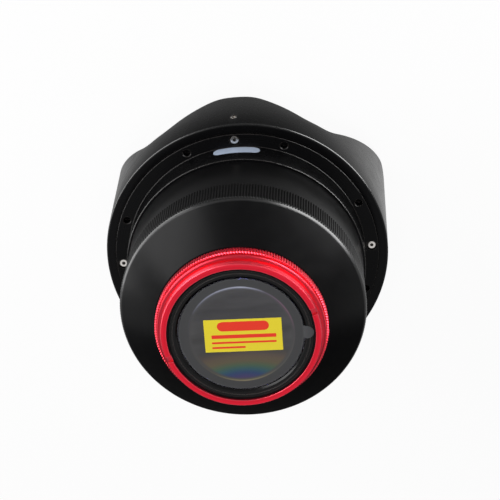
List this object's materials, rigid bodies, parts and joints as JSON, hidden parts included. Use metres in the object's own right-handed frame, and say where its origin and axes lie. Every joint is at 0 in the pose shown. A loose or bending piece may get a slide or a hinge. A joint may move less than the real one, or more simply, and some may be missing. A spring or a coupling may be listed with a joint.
{
  "type": "underwater wide-angle lens",
  "caption": "Wet wide-angle lens for an underwater camera housing, with a large dome, a lobed hood, a conical rear body and a red screw mount",
  "frame": {"origin": "centre of the circle that the hood's two long lobe tips stand on", "axes": "+Z along the lens axis toward the rear mount, +X through a long lobe, +Y through a short lobe, the top cap screw and the label strip"},
  "size_m": [0.1254, 0.1254, 0.143],
  "materials": {
    "black_anodised": "satin black anodised, fine turning lines",
    "red_anodised": "satin red anodised, fine turning lines",
    "inner_black": "matt black anodised",
    "stainless": "plain stainless steel",
    "optical_glass": "polished, coated",
    "seal_rubber": "matt",
    "gasket_plastic": "matt",
    "film_plastic": "milky clear film",
    "sticker_paper": "yellow with red shapes",
    "label_vinyl": "satin pale blue-white"
  },
  "bodies": {
    "root": {"body_o_ring": "seal_rubber", "cell_retaining_ring": "inner_black", "concave_lens": "optical_glass", "dome_bezel": "black_anodised", "dome_gasket": "gasket_plastic", "dome_lens": "optical_glass", "dome_o_ring": "seal_rubber", "doublet_front_lens": "optical_glass", "doublet_rear_lens": "optical_glass", "doublet_retaining_ring": "inner_black", "flange_cap_screws": "stainless", "front_flange": "black_anodised", "hood_grub_screws": "stainless", "label_strip": "label_vinyl", "lens_cell": "inner_black", "lens_hood": "black_anodised", "light_baffle": "inner_black", "meniscus_lens": "optical_glass", "meniscus_retaining_ring": "inner_black", "mount_ring": "red_anodised", "notice_sticker": "sticker_paper", "protective_film": "film_plastic", "rear_housing": "black_anodised", "rear_lens": "optical_glass", "rear_o_ring": "seal_rubber", "rear_retaining_ring": "black_anodised", "spacer_ring": "inner_black"}
  },
  "joints": []
}
